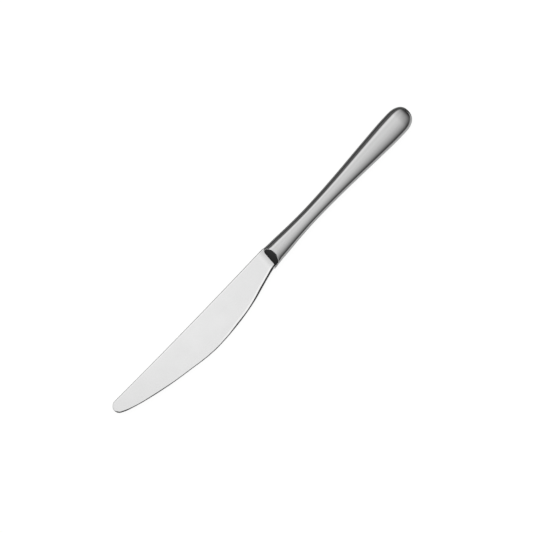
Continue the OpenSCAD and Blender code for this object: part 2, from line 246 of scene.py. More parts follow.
class KnifeHandleSizes(bpy.types.PropertyGroup):
    """Sizes of the bolster and the hollow handle."""
    handle_length: length("Handle length", "From the step to the handle's far end", 113.5)
    bolster_width: length("Bolster width", "Width at the step", 12.4)
    bolster_thickness: length("Bolster thickness", "Thickness at the step", 9.2)
    waist_distance: length("Waist distance", "From the step to the narrowest place", 33.5)
    waist_width: length("Waist width", "Width at the narrowest place", 9.02)
    waist_thickness: length("Waist thickness", "Thickness at the narrowest place", 8.2)
    swell_width: length("Swell width", "Width at the widest place", 14.52)
    swell_thickness: length("Swell thickness", "Thickness at the widest place", 9.4)
    dome_length: length("Dome length", "Length of the rounded far end", 9.8)
    dome_dress: length("Dome dressing", "How far the far end is buffed back from the solid's", 0.2)
    dome_power: number("Dome fullness", "2 is an ellipse, more is blunter", 2.3, 2.0, 4.0)
    dome_drift: length("Dome drift", "How far the far end lies off the axis, towards the spine", 0.3)
    section_power: number("Section fullness", "2 is an ellipse, more is fuller", 2.4, 2.0, 4.0)
    bolster_length: length("Bolster length", "From the step to the shells' mouth", 7.0)
    step_start: length("Step start", "Where the step's face leaves the cheek, on the axis", 0.05)
    step_run: length("Step run", "How far back the step's face runs along the top", 4.5)
    step_skew: angle("Step skew", "Turn of the step's straight edge from square", 2.8)
    rim_round: length("Rim rounding", "Width of the rounding round the half-moon's rim", 0.12)
    corner_slope: angle("Corner slope", "Slope of the small wall where the cheek runs on past the step", 70)
    spigot_length: length("Spigot length", "Length of the spigot inside the shells", 4.0)
    spigot_gap: length("Spigot gap", "Gap round the spigot", 0.1)
    shell_wall: length("Shell wall", "Wall of the half-shells", 0.8)
    seam_thickness: length("Seam thickness", "Thickness of the brazed seam", 0.12)
    ring_thickness: length("Ring thickness", "Thickness of the braze ring", 0.12)
    around: count("Points around", "Points round the oval section", 96, 24)
    body_steps: count("Body steps", "Lines along the shells up to the rounded end", 84, 12)
    dome_steps: count("Dome steps", "Lines along the rounded end", 16, 4)


class KnifeFinish(bpy.types.PropertyGroup):
    """Colours and roughness of the steels, the braze and the cement."""
    blade_colour: colour("Blade steel", "Mirror-buffed blade steel", "#FAFAFA")
    # Brighter than the blade steel: a painted highlight along the line inside the edge bevel
    margin_colour: colour("Blade margin", "Highlight-painted line inside the edge bevel", "#FFFFFF")
    handle_colour: colour("Handle steel", "Buffed handle steel", "#D4D4D4")
    braze_colour: colour("Braze", "Pale silver-bearing braze", "#DAD5C4")
    cement_colour: colour("Cement", "Set mineral cement", "#C9C0AC")
    blade_roughness: number("Blade roughness", "Blur of the blade's reflections", 0.14)
    handle_roughness: number("Handle roughness", "Blur of the handle's reflections", 0.12)
    step_roughness: number("Step roughness", "Blur of the reflections on the half-moon itself", 0.05)
    rim_roughness: number("Rim roughness", "Blur of the reflections on the half-moon's eased rim", 0.68)


class KnifeStageSettings(bpy.types.PropertyGroup):
    """Camera and studio light."""
    camera_distance: length("Camera distance", "From the knife to the camera", 1200)
    view_width: length("View width", "Width that the picture takes in at the knife", 297.48)
    centre_x: length("Centre X", "Middle of the picture along the knife", -0.47, low=-1.0)
    centre_y: length("Centre Y", "Middle of the picture across the knife", 0.69, low=-1.0)
    picture_turn: angle("Picture turn", "Angle of the knife's axis from the picture's right", 46.726)
    side_lean: angle("Side lean", "How far the camera stands towards the spine's side", 4.3)


def between(a, b, k):
    return a + (b - a) * k


def fade(value, start, spread):
    """Eases from 0 to 1 as a value goes on from start by spread."""
    k = min(max((value - start) / spread, 0.0), 1.0)
    return k * k * (3 - 2 * k)


def slope_at(points, i, first, last):
    """Slope of the curve at point i of a list of (x, y), with the two end slopes given."""
    if i == 0:
        return first
    if i == len(points) - 1:
        return last
    return (points[i + 1][1] - points[i - 1][1]) / (points[i + 1][0] - points[i - 1][0])


def curve_at(points, x, first=0.0, last=0.0):
    """Smooth curve through (x, y) points with rising x, read at one x."""
    i = max(k for k in range(len(points) - 1) if k == 0 or points[k][0] <= x)
    w = points[i + 1][0] - points[i][0]
    s = (x - points[i][0]) / w
    a = slope_at(points, i, first, last) * w
    b = slope_at(points, i + 1, first, last) * w
    return (points[i][1] * (1 + 2 * s) * (1 - s) ** 2 + a * s * (1 - s) ** 2
            + points[i + 1][1] * s * s * (3 - 2 * s) - b * s * s * (1 - s))


class BladeForm:
    """The blade's outline and cheek, worked out from its sizes as the solids' source does."""

    def __init__(self, sizes, handle_sizes):
        self.s = s = sizes
        self.h = handle_sizes
        self.skew = math.cos(self.h.step_skew), math.sin(self.h.step_skew)
        self.tilt = math.atan(2 * s.spine_rise / s.blade_length)
        self.tip_x = s.tip_radius - s.blade_length
        self.top_x = self.tip_x + s.tip_radius * math.sin(self.tilt)
        self.centre = (self.tip_x, self.spine_y(self.top_x) - s.tip_radius * math.cos(self.tilt))
        self.tip_end = math.pi + s.tip_turn
        self.edge_end = self.tip_point(self.tip_end)
        depths = [(a * s.blade_length, between(s.heel_depth, s.belly_depth, b)) for a, b in EDGE_SHARES]
        self.edge_points = [(0.0, s.heel_depth), *depths, (-self.edge_end[0], -self.edge_end[1])]
        belly_x = -BELLY_SHARE * s.blade_length
        drop = (s.tip_thickness - s.spine_thickness) / 2
        self.across = ((s.spine_thickness - s.belly_thickness) / 2 + drop * belly_x / self.tip_x) / (
            s.spine_offset + s.belly_depth + s.spine_rise * belly_x / self.tip_x)
        self.along = (drop - self.across * s.spine_rise) / self.tip_x

    def spine_y(self, x):
        return self.s.spine_offset + self.s.spine_rise * (x / self.s.blade_length) ** 2

    def tip_point(self, a):
        x, y = self.centre
        return x + self.s.tip_radius * math.cos(a), y + self.s.tip_radius * math.sin(a)

    def edge_y(self, x):
        return -curve_at(self.edge_points, -x, 0.0, -1 / math.tan(self.s.tip_turn))

    def cheek_z(self, x, y):
        s = self.s
        return s.spine_thickness / 2 + self.along * x + self.across * (y - s.spine_offset)

    def rising_cheek(self, x, y):
        """Height of the cheek that rises where the grinding wheel ran out, along lines parallel to the step."""
        reach = (self.h.step_start - x) * self.skew[0] + y * self.skew[1]
        share = min(max(reach / self.s.runout_length, -RUNOUT_PAST), 1.0)
        return self.cheek_z(x, y) + self.s.runout_rise * (1 - share) ** RUNOUT_POWER

    def outline(self, root, draw_in, near=(0.0,), far=(0.0,)):
        """Points from the spine's back corner round the tip to the edge's, each with its turn on the tip. near
        and far are the first places along the spine and along the cutting edge."""
        s = self.s
        points = [(root, s.spine_offset - draw_in, 0.0)]
        points += [(x, self.spine_y(x) - PLATE_SLOPE * max(x, 0.0), 0.0) for x in near]
        for i in range(1, s.steps + 1):
            x = between(near[-1], self.top_x, i / s.steps)
            points.append((x, self.spine_y(x), 0.0))
        turns = [between(math.pi / 2 - self.tilt, math.pi, i / s.tip_steps) for i in range(1, s.tip_steps + 1)]
        turns += [math.pi + s.tip_turn * i / s.tip_steps for i in range(1, s.tip_steps)]
        points += [(*self.tip_point(a), a) for a in turns]
        for i in range(s.steps, 0, -1):
            x = between(far[-1], self.edge_end[0], i / s.steps)
            points.append((x, self.edge_y(x), self.tip_end))
        for x in reversed(far):
            points.append((x, self.edge_y(min(x, 0.0)) + PLATE_SLOPE * max(x, 0.0), self.tip_end))
        points.append((root, draw_in - s.heel_depth, self.tip_end))
        return points


class HandleForm:
    """The handle's half width and half thickness along its length, as the solids' source has them."""

    def __init__(self, sizes):
        self.s = sizes
        self.dome_start = sizes.handle_length - sizes.dome_length
        self.dome_reach = sizes.dome_length - sizes.dome_dress
        self.mouth = sizes.bolster_length + sizes.ring_thickness
        self.spigot_end = sizes.bolster_length + sizes.spigot_length

    def half(self, x, step, waist, swell):
        s = self.s
        if x <= s.waist_distance:
            return between(waist, step, curve_at(NECK_SHARES, x / s.waist_distance)) / 2
        if x <= self.dome_start:
            k = (x - s.waist_distance) / (self.dome_start - s.waist_distance)
            return between(waist, swell, curve_at(SWELL_SHARES, k)) / 2
        k = min((x - self.dome_start) / self.dome_reach, 1.0)
        return swell / 2 * (1 - k ** s.dome_power) ** (1 / s.dome_power)

    def halves(self, x, inset=0.0):
        """Half width and half thickness, less an inset."""
        s = self.s
        return (self.half(x, s.bolster_width, s.waist_width, s.swell_width) - inset,
                self.half(x, s.bolster_thickness, s.waist_thickness, s.swell_thickness) - inset)

    def drift(self, x):
        return self.s.dome_drift * max((x - self.dome_start) / self.dome_reach, 0.0) ** 3


# Ways of working in edit mode


def work_on(piece):
    """Leaves one object selected and active, and nothing else."""
    if bpy.context.object and bpy.context.object.mode != "OBJECT":
        done()
    bpy.ops.object.select_all(action="DESELECT")
    piece.select_set(True)
    bpy.context.view_layer.objects.active = piece


def edit(piece):
    """Opens a piece in edit mode with nothing selected."""
    work_on(piece)
    bpy.ops.object.mode_set(mode="EDIT")
    bpy.ops.mesh.select_mode(type="VERT")
    bpy.ops.mesh.select_all(action="DESELECT")


def done():
    bpy.ops.object.mode_set(mode="OBJECT")


def select_all():
    bpy.ops.mesh.select_all(action="SELECT")


def pick(kind, test):
    """Selects the vertices, edges or faces of the open piece that pass a test."""
    bpy.ops.mesh.select_mode(type=kind)
    bpy.ops.mesh.select_all(action="DESELECT")
    data = bpy.context.edit_object.data
    mesh = bmesh.from_edit_mesh(data)
    for item in {"VERT": mesh.verts, "EDGE": mesh.edges, "FACE": mesh.faces}[kind]:
        if test(item):
            item.select_set(True)
    mesh.select_flush_mode()
    bmesh.update_edit_mesh(data)


def give(slot, test=lambda f: True):
    """Gives the faces of the open piece that pass a test a material slot."""
    data = bpy.context.edit_object.data
    for f in bmesh.from_edit_mesh(data).faces:
        if test(f):
            f.material_index = slot
    bmesh.update_edit_mesh(data)


def move(offset):
    bpy.ops.transform.translate(value=offset, orient_type="GLOBAL")


def grow(factors, centre):
    bpy.ops.transform.resize(value=factors, orient_type="GLOBAL", center_override=centre)


def draw_out(offset):
    """Extrudes what is selected of the open piece."""
    bpy.ops.mesh.extrude_region_move(TRANSFORM_OT_translate={"value": offset})


def cut(point, normal, fill=True):
    """Cuts the open piece with a plane, clearing what lies ahead of its normal."""
    select_all()
    bpy.ops.mesh.bisect(plane_co=point, plane_no=normal, use_fill=fill, clear_outer=True, threshold=FINE)


def turn_outward():
    """Turns every face of the open piece outwards."""
    select_all()
    bpy.ops.mesh.normals_make_consistent()


def merge_doubles(piece, threshold):
    """Merges a piece's doubles and turns its faces outwards."""
    edit(piece)
    select_all()
    bpy.ops.mesh.remove_doubles(threshold=threshold)
    turn_outward()
    done()


def open_ends(piece):
    """Takes the discs off a bar's ends."""
    edit(piece)
    pick("FACE", lambda f: len(f.verts) > 4)
    bpy.ops.mesh.delete(type="ONLY_FACE")
    turn_outward()
    done()


def finish_with(piece, kind, **settings):
    """Adds a modifier with its settings and applies it."""
    work_on(piece)
    bpy.ops.object.modifier_add(type=kind)
    modifier = piece.modifiers[-1]
    for name, value in settings.items():
        setattr(modifier, name, value)
    bpy.ops.object.modifier_apply(modifier=modifier.name)


def copy_of(piece, name):
    """A copy with its own mesh."""
    other = piece.copy()
    other.data = piece.data.copy()
    other.name = other.data.name = name
    bpy.context.collection.objects.link(other)
    return other


def drawn_loop(points, name):
    """A closed line drawn through points and turned into a mesh."""
    line = bpy.data.curves.new(name, "CURVE")
    line.dimensions = "3D"
    spline = line.splines.new("POLY")
    spline.points.add(len(points) - 1)
    for place, point in zip(spline.points, points):
        place.co = (*point, 1.0)
    spline.use_cyclic_u = True
    piece = bpy.data.objects.new(name, line)
    bpy.context.collection.objects.link(piece)
    work_on(piece)
    bpy.ops.object.convert(target="MESH")
    return bpy.context.object


def primitive(add_one, name, **settings):
    """A primitive added at its size and place, which its mesh takes up."""
    bpy.ops.object.select_all(action="DESELECT")
    add_one(**settings)
    bpy.ops.object.transform_apply()
    piece = bpy.context.object
    piece.name = piece.data.name = name
    return piece


def oval_bar(handle, stations, name, halves=None):
    """Oval bar: a disc shaped to the section, extruded and resized from place to place along the handle."""
    around = handle.s.around
    halves = halves or handle.halves
    piece = primitive(bpy.ops.mesh.primitive_circle_add, name, vertices=around, radius=MM, fill_type="NGON",
                      location=(stations[0], 0, 0), rotation=(math.pi / 2, 0, math.pi / 2))
    edit(piece)
    # Each set of four mirrored points of the disc goes to its place on the fuller oval
    power = 2 / handle.s.section_power
    quarter = around // 4
    for i in range(quarter + 1):
        a = math.pi / 2 * i / quarter
        disc = math.cos(a) * MM, math.sin(a) * MM
        pick("VERT", lambda v: all(abs(abs(c) - d) < NEAR for c, d in zip(v.co.yz, disc)))
        oval = (half * (d / MM) ** power / d if d > NEAR else 1 for half, d in zip(halves(stations[0]), disc))
        grow((1, *oval), (stations[0], 0, 0))
    select_all()
    for a, b in zip(stations, stations[1:]):
        draw_out((b - a, handle.drift(b) - handle.drift(a), 0))
        grow((1, *(q / p for p, q in zip(halves(a), halves(b)))), (b, handle.drift(b), 0))
    turn_outward()
    done()
    return piece


def axis_place():
    """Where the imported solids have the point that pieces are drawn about: the handle's axis at the step."""
    handle = bpy.context.scene.knife_handle
    blade = BladeForm(bpy.context.scene.knife_blade, handle)
    ys = [p[1] for p in blade.outline(0.0, 0.0)]
    return Vector(((blade.s.blade_length - handle.handle_length) / 2, -(max(ys) + min(ys)) / 2,
                   max(handle.swell_thickness, handle.bolster_thickness) / 2))


def in_frame(piece):
    """Puts a piece drawn about the handle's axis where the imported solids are."""
    edit(piece)
    select_all()
    move(axis_place())
    done()


def finished(piece, name, node, crease):
    """Names a piece, gives it its shading, hangs it on the root body and hides the imported solid that it
    stands for.
    """
    piece.name = piece.data.name = name
    work_on(piece)
    bpy.ops.object.shade_smooth_by_angle(angle=crease)
    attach(piece, "root")
    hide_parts(node)


# Ways of making a finish


def add(tree, kind, inputs=None, **settings):
    """Adds one shader node with its settings. An input is a value, a socket to link from, or a node to link
    from by its first output in use."""
    made = tree.nodes.new("ShaderNode" + kind)
    for name, value in settings.items():
        setattr(made, name, value)
    for key, value in (inputs or {}).items():
        if isinstance(value, bpy.types.Node):
            value = next(out for out in value.outputs if out.enabled)
        if isinstance(value, bpy.types.NodeSocket):
            tree.links.new(value, made.inputs[key])
        else:
            made.inputs[key].default_value = value
    return made


def cleared_tree(owner):
    """The node tree of a new material or world, with nothing in it."""
    owner.use_nodes = True
    owner.node_tree.nodes.clear()
    return owner.node_tree


def finish_of(name, draw, *values):
    """The finish of this name, drawn when it is first asked for."""
    finish = bpy.data.materials.get(name)
    if finish is None:
        finish = bpy.data.materials.new(name)
        tree = cleared_tree(finish)
        place = add(tree, "TexCoord").outputs["Object"]
        add(tree, "OutputMaterial", {"Surface": draw(tree, place, *values)})
    return finish


def shades(name, *shares):
    """Shares of one of the set colours, each as a colour for a socket."""
    tone = getattr(bpy.context.scene.knife_finish, name)
    return [(*(c * share for c in tone), 1.0) for share in shares]


def buffed(tree, place, tone, roughness, line_width, line_depth):
    """Stainless steel buffed along its length."""
    dim, bright = shades(tone, 0.965, 1)
    blurred = getattr(bpy.context.scene.knife_finish, roughness)
    # Buffing lines: stretched 60 to 1 along the knife, a real 0.05 mm apart, drawn coarser so that they show
    lengthwise = add(tree, "Mapping", {"Vector": place, "Scale": (1 / 60, 1.0, 1.0)})
    lines = add(tree, "TexNoise", {"Vector": lengthwise, "Scale": 1 / (line_width * MM), "Detail": 3.0,
                                   "Roughness": 0.6})
    # Slow clouding where the mop dwelt, about 9 mm across
    clouds = add(tree, "TexNoise", {"Vector": place, "Scale": 1 / (9 * MM), "Detail": 2.0, "Roughness": 0.5})
    shade = add(tree, "Mix", {"Factor": lines, "A": dim, "B": bright}, data_type="RGBA")
    blur = add(tree, "MapRange", {"Value": clouds, "From Min": 0.3, "From Max": 0.7, "To Min": blurred * 0.85,
                                  "To Max": blurred * 1.15})
    relief = add(tree, "Bump", {"Height": lines, "Strength": 0.25, "Distance": line_depth * MM})
    return add(tree, "BsdfPrincipled", {"Base Color": shade, "Metallic": 1.0, "Roughness": blur,
                                        "Normal": relief})


def steel(kind):
    """One of the steels, in the colour and roughness set for it."""
    name, *values = STEELS[kind]
    return finish_of(name, buffed, *values)


def dressed(tree, place):
    """Silver-bearing braze dressed flush with the steel: pale, faintly yellow, a little duller and pitted."""
    dim, bright = shades("braze_colour", 0.86, 1)
    # Grain of the frozen alloy, about 0.15 mm
    grain = add(tree, "TexNoise", {"Vector": place, "Scale": 1 / (0.15 * MM), "Detail": 2.0})
    shade = add(tree, "Mix", {"Factor": grain, "A": dim, "B": bright}, data_type="RGBA")
    blur = add(tree, "MapRange", {"Value": grain, "To Min": 0.22, "To Max": 0.36})
    pits = add(tree, "Bump", {"Height": grain, "Strength": 0.3, "Distance": 0.01 * MM})
    return add(tree, "BsdfPrincipled", {"Base Color": shade, "Metallic": 1.0, "Roughness": blur,
                                        "Normal": pits})


def poured(tree, place):
    """Mineral cement poured in and set round the tang: dull, sandy and pale."""
    damp, dim, bright = shades("cement_colour", 0.72, 0.8, 1)
    # Sand grains, about 0.4 mm, among finer paste
    sand = add(tree, "TexVoronoi", {"Vector": place, "Scale": 1 / (0.4 * MM)})
    paste = add(tree, "TexNoise", {"Vector": place, "Scale": 1 / (2.5 * MM), "Detail": 4.0})
    grains = add(tree, "Mix", {"Factor": sand, "A": dim, "B": bright}, data_type="RGBA")
    shade = add(tree, "Mix", {"Factor": paste, "A": damp, "B": grains}, data_type="RGBA")
    relief = add(tree, "Bump", {"Height": sand, "Strength": 0.5, "Distance": 0.08 * MM})
    return add(tree, "BsdfPrincipled", {"Base Color": shade, "Roughness": 0.92, "Normal": relief})


def section(form, outline, i):
    """Points from point i of the outline in to the flat cheek."""
    s = form.s
    x, y, a = outline[i]
    if i < 2:
        inward = Vector((0, -1))
    elif i > len(outline) - 3:
        inward = Vector((0, 1))
    else:
        before, after = outline[i - 1], outline[i + 1]
        inward = Vector((before[1] - after[1], after[0] - before[0])).normalized()
    # Spine: a quarter round up to the cheek, then strips of flat cheek
    radius = s.spine_round * between(1, s.tip_round, fade(a, ROUND_THINS, ROUND_SPREAD))
    # Cutting edge: a bright land, a steep bevel, a strip of cheek, the margin and another strip of cheek
    land = between(s.heel_land, s.edge_land, fade(-x, 0.0, s.land_fade))
    land = between(land, s.tip_land, fade(-x, s.blade_length - 2 * s.land_fade, s.land_fade))
    bevel_end = curve_at(BEVEL_ENDS, min(max(-x / MM, 0.0), BEVEL_ENDS[-1][0])) * MM
    bevel = max(bevel_end, land + BEVEL_LEAST)
    low = form.rising_cheek(x, y) - (bevel - land) * math.tan(s.edge_angle)
    edge = max(low, s.edge_thickness / 2)
    flat = bevel + BEVEL_STRIP
    insets = (0.0, EDGE_EASE_IN, land * 0.5, land, bevel, flat, flat + s.edge_margin,
              flat + s.edge_margin + MARGIN_STRIP)
    # The buffed margin leans towards the spine, so it catches more of the light
    lean = s.margin_rise * fade(-x, LEAN_BEGINS, LEAN_GROWS) * fade(s.margin_length + x, 0.0, LEAN_FADES)
    points = [(x, y, 0.0)]
    for k, edge_in in enumerate(insets):
        turn = math.pi / 2 * min(k, ROUND_STEPS) / ROUND_STEPS
        spine_in = radius * (1 - math.cos(turn)) + SPINE_STRIP * max(k - ROUND_STEPS, 0)
        share = fade(a, BEVEL_BEGINS, BEVEL_SPREAD)
        inset = between(spine_in, edge_in, share)
        px, py = x + inward.x * inset, y + inward.y * inset
        cheek = form.rising_cheek(px, py)
        edge_z = (edge - EDGE_EASE_DOWN, edge, edge, edge, cheek + lean, cheek + lean, cheek, cheek)[k]
        points.append((px, py, between(cheek - radius * (1 - math.sin(turn)), edge_z, share)))
    return points


def plate(form):
    """The blade plate: lines drawn round the blade, one inside the other, bridged and filled, then mirrored."""
    s = form.s
    places = [s.runout_length * i / s.runout_steps for i in range(s.runout_steps + 1)]
    cosine, sine = form.skew
    near, far = ([form.h.step_start - (place - y * sine) / cosine for place in places]
                 for y in (s.spine_offset, -s.heel_depth))
    # The plate runs on past the step, so that the cheek shows up to the half-moon's corner
    for side in (near, far):
        side.insert(0, side[0] + PLATE_PAST)
    outline = form.outline(PLATE_END, PLATE_DRAW_IN, near, far)
    n = len(outline)
    loops = list(zip(*(section(form, outline, i) for i in range(n))))
    last = len(loops) - 1

    def on(item, *lines):
        # Every line has n points, so a point's number says which line it is on
        return all(v.index // n in lines for v in item.verts)

    piece = drawn_loop(loops[0], "plate")
    # Each line is bridged from above its place and then lowered, so that the bridge can't twist
    for k, points in enumerate(loops[1:]):
        ring = drawn_loop([(x, y, z + BRIDGE_HEIGHT) for x, y, z in points], "ring")
        work_on(piece)
        ring.select_set(True)
        bpy.ops.object.join()
        edit(piece)
        pick("EDGE", lambda e: on(e, k, k + 1))
        bpy.ops.mesh.bridge_edge_loops()
        pick("VERT", lambda v: v.index // n == k + 1)
        move((0, 0, -BRIDGE_HEIGHT))
        done()
    edit(piece)
    pick("EDGE", lambda e: on(e, last))
    bpy.ops.mesh.edge_face_add()
    # Lines across the cheek join the spine's side to the edge's side
    for i in range(1, len(near) + s.steps + 1):
        pick("VERT", lambda v: v.index in (last * n + i, last * n + n - 1 - i))
        bpy.ops.mesh.vert_connect()
    turn_outward()

    def in_margin(f):
        middle = f.calc_center_median()
        return (on(f, *MARGIN_LINES) and middle.y < form.spine_y(middle.x) - EDGE_SIDE
                and -s.margin_length < middle.x < -MARGIN_BEGINS)

    def in_bevel(f):
        return on(f, *BEVEL_LINES) and f.calc_center_median().y < form.centre[1] - s.tip_radius / 2

    # The brighter margin steel, a painted highlight line, goes on one strip inside the edge bevel, where the
    # bevel is deep enough
    give(MARGIN, in_margin)
    # The edge bevel is whetted and left greyer, and at the heel it is lapped along with the half-moon
    give(BOLSTER, in_bevel)
    give(STEP, lambda f: in_bevel(f) and f.calc_center_median().x > -s.land_fade)
    done()
    finish_with(piece, "MIRROR", use_axis=(False, False, True), use_clip=True, merge_threshold=MIDDLE)
    merge_doubles(piece, FINE)
    return piece


def beyond(line):
    """The level direction to the left of a line given in millimetres, and the line's first point."""
    (ax, ay), (bx, by) = line
    return Vector((ay - by, bx - ax, 0)).normalized(), Vector((ax * MM, ay * MM, 0))


def mirrored(level, slope):
    """Directions of the near and the far one of two faces that slope away from a level direction."""
    return [level * math.sin(slope) + Vector((0, 0, side * math.cos(slope))) for side in (1, -1)]


def bolster(form, handle):
    """The bolster: an oval bar cut by the two sloping faces of the step, with its rims rounded over."""
    h = handle.s

    def halves(x):
        if x >= BAR_BACK:
            return handle.halves(x)
        return [between(a, b, x / BAR_BACK) for a, b in zip(handle.halves(0), handle.halves(BAR_BACK))]

    piece = oval_bar(handle, [BAR_FRONT, BAR_BACK, h.bolster_length], "bolster", halves)
    low = form.cheek_z(h.step_start, 0) + form.s.runout_rise
    slope = math.atan2(halves(h.step_run)[1] - low, h.step_run - h.step_start)
    steps = mirrored(Vector((-form.skew[0], form.skew[1], 0)), slope)
    # The cheek runs on past the step's corner on the spine's side, up to a small steep wall
    away, corner = beyond(CORNER_LINE)
    walls = mirrored(away, h.corner_slope)
    edit(piece)
    for point, faces in ((Vector((h.step_start, 0, 0)), steps), (corner, walls)):
        for side, face in zip((1, -1), faces):
            cut(point + Vector((0, 0, side * low)), face)
    bpy.ops.mesh.normals_make_consistent()

    def on_step(f, faces=steps):
        return any(f.normal.dot(face) > ALIKE for face in faces)

    pick("EDGE", lambda e: len(e.link_faces) == 2 and sum(on_step(f) for f in e.link_faces) == 1
         and not any(on_step(f, walls) for f in e.link_faces))
    bpy.ops.mesh.bevel(offset=h.rim_round, segments=RIM_STRIPS)
    give(BOLSTER)
    give(RIM, lambda f: f.select)
    # The half-moon's flat is mirror-bright but for strips along its rim at both ends
    lines = [beyond(line) for line in EASE_LINES]
    for away, point in lines:
        pick("FACE", on_step)
        bpy.ops.mesh.bisect(plane_co=point, plane_no=away, threshold=FINE)
    give(STEP, on_step)
    give(RIM, lambda f: on_step(f) and any((f.calc_center_median() - point).dot(away) > 0
                                           for away, point in lines))
    done()
    return piece


def spigot(handle):
    """The oval spigot that plugs the shells' mouth."""
    h, end = handle.s, handle.spigot_end
    size = handle.halves(end, h.shell_wall + h.spigot_gap)
    piece = oval_bar(handle, [h.bolster_length - OVERLAP, end], "spigot", lambda x: size)
    edit(piece)
    give(BOLSTER)
    done()
    return piece


def tang(form, handle):
    """The flat tang: a square-ended bar drawn out step by step, drawn in at each keying notch."""
    s = form.s
    start = handle.spigot_end - OVERLAP
    piece = primitive(bpy.ops.mesh.primitive_plane_add, "tang", size=MM, location=(start, 0, 0),
                      rotation=(0, math.pi / 2, 0))
    edit(piece)
    select_all()
    grow((1, s.tang_root_width / MM, s.tang_thickness / MM), (start, 0, 0))
    places = []
    for i in range(1, NOTCHES + 1):
        x = handle.spigot_end + s.tang_length * i / (NOTCHES + 1)
        wide = between(s.tang_root_width, s.tang_end_width, i / (NOTCHES + 1))
        # The filed notch's ends slope a little
        outer, narrow = s.notch_length / 2, wide - 2 * s.notch_depth
        inner = outer - NOTCH_SLOPE
        places += [(x - outer, wide), (x - inner, narrow), (x + inner, narrow), (x + outer, wide)]
    places.append((handle.spigot_end + s.tang_length, s.tang_end_width))
    at, now = start, s.tang_root_width
    for x, wide in places:
        draw_out((x - at, 0, 0))
        grow((1, wide / now, 1), (x, 0, 0))
        at, now = x, wide
    turn_outward()
    give(BOLSTER)
    done()
    return piece


class KNIFE_OT_blade(bpy.types.Operator):
    """Model the blade with its bolster, half-moon steps, spigot and tang"""
    bl_idname = "knife.blade"
    bl_label = "Blade and Bolster"

    def execute(self, context):
        handle = HandleForm(context.scene.knife_handle)
        form = BladeForm(context.scene.knife_blade, handle.s)
        piece, *others = plate(form), bolster(form, handle), spigot(handle), tang(form, handle)
        for other in (piece, *others):
            for kind in range(len(STEELS)):
                other.data.materials.append(steel(kind))
        for other in others:
            finish_with(piece, "BOOLEAN", operation="UNION", solver="EXACT", object=other,
                        material_mode="INDEX")
            bpy.data.objects.remove(other)
        merge_doubles(piece, NEAR)
        in_frame(piece)
        finished(piece, "knife_blade", "blade", BLADE_CREASE)
        return {"FINISHED"}


def skin(handle):
    """The whole outer surface from the shells' mouth over the round end, open at the mouth."""
    h, start, reach = handle.s, handle.dome_start, handle.dome_reach
    body = [between(handle.mouth, start, i / h.body_steps) for i in range(h.body_steps + 1)]
    dome = [start + reach * math.sin(math.pi / 2 * i / h.dome_steps) for i in range(1, h.dome_steps)]
    piece = oval_bar(handle, body + dome, "skin", lambda x: handle.halves(x, SHELL_INSET))
    edit(piece)
    # The last disc is drawn on to the handle's very end and closed to a point; the first leaves the mouth open
    pick("VERT", lambda v: v.co.x > dome[-1] - NEAR)
    draw_out((start + reach - dome[-1], 0, 0))
    bpy.ops.mesh.merge(type="CENTER")
    done()
    open_ends(piece)
    return piece


def walled(piece, handle, name, node, finish):
    """Gives a cut of the skin its wall, inwards, and its finish."""
    finish_with(piece, "SOLIDIFY", thickness=handle.s.shell_wall, offset=-1.0)
    in_frame(piece)
    piece.data.materials.append(finish)
    finished(piece, name, node, SHELL_CREASE)


class KNIFE_OT_handle(bpy.types.Operator):
    """Model the hollow handle: two half-shells, their brazed seam and the braze ring at the bolster"""
    bl_idname = "knife.handle"
    bl_label = "Hollow Handle"

    def execute(self, context):
        handle = HandleForm(context.scene.knife_handle)
        half_seam = handle.s.seam_thickness / 2
        braze = finish_of("Dressed silver-bearing braze", dressed)
        whole = skin(handle)
        for name, side in (("handle_shell_upper", 1), ("handle_shell_lower", -1)):
            shell = copy_of(whole, name)
            edit(shell)
            cut((0, 0, side * half_seam), (0, 0, -side), fill=False)
            done()
            walled(shell, handle, name + "_skin", name, steel(BOLSTER))
        seam = copy_of(whole, "seam")
        edit(seam)
        for side in (1, -1):
            cut((0, 0, side * half_seam), (0, 0, side), fill=False)
        done()
        walled(seam, handle, "seam_fillet", "seam_braze", braze)
        ring = oval_bar(handle, [handle.s.bolster_length, handle.mouth], "ring")
        open_ends(ring)
        walled(ring, handle, "bolster_ring", "bolster_braze", braze)
        bpy.data.objects.remove(whole)
        return {"FINISHED"}


class KNIFE_OT_filler(bpy.types.Operator):
    """Give the cement plug inside the handle its finish"""
    bl_idname = "knife.filler"
    bl_label = "Cement Plug"

    def execute(self, context):
        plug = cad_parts["handle_filler"]
        plug.data.materials.clear()
        plug.data.materials.append(finish_of("Set mineral cement", poured))
        return {"FINISHED"}


def grey_ramp(tree, value, levels, reach):
    """Grey levels at the given values, with straight changes between them, from -reach to reach."""
    share = add(tree, "MapRange", {"Value": value, "From Min": -reach, "From Max": reach})
    ramp = add(tree, "ValToRGB", {"Fac": share})
    marks = ramp.color_ramp.elements
    while len(marks) > 1:
        marks.remove(marks[-1])
    for i, (at, level) in enumerate(levels):
        place = 0.5 + 0.5 * at / reach
        stop = marks[0] if i == 0 else marks.new(place)
        stop.position = place
        stop.color = (level, level, level, 1)
    return ramp


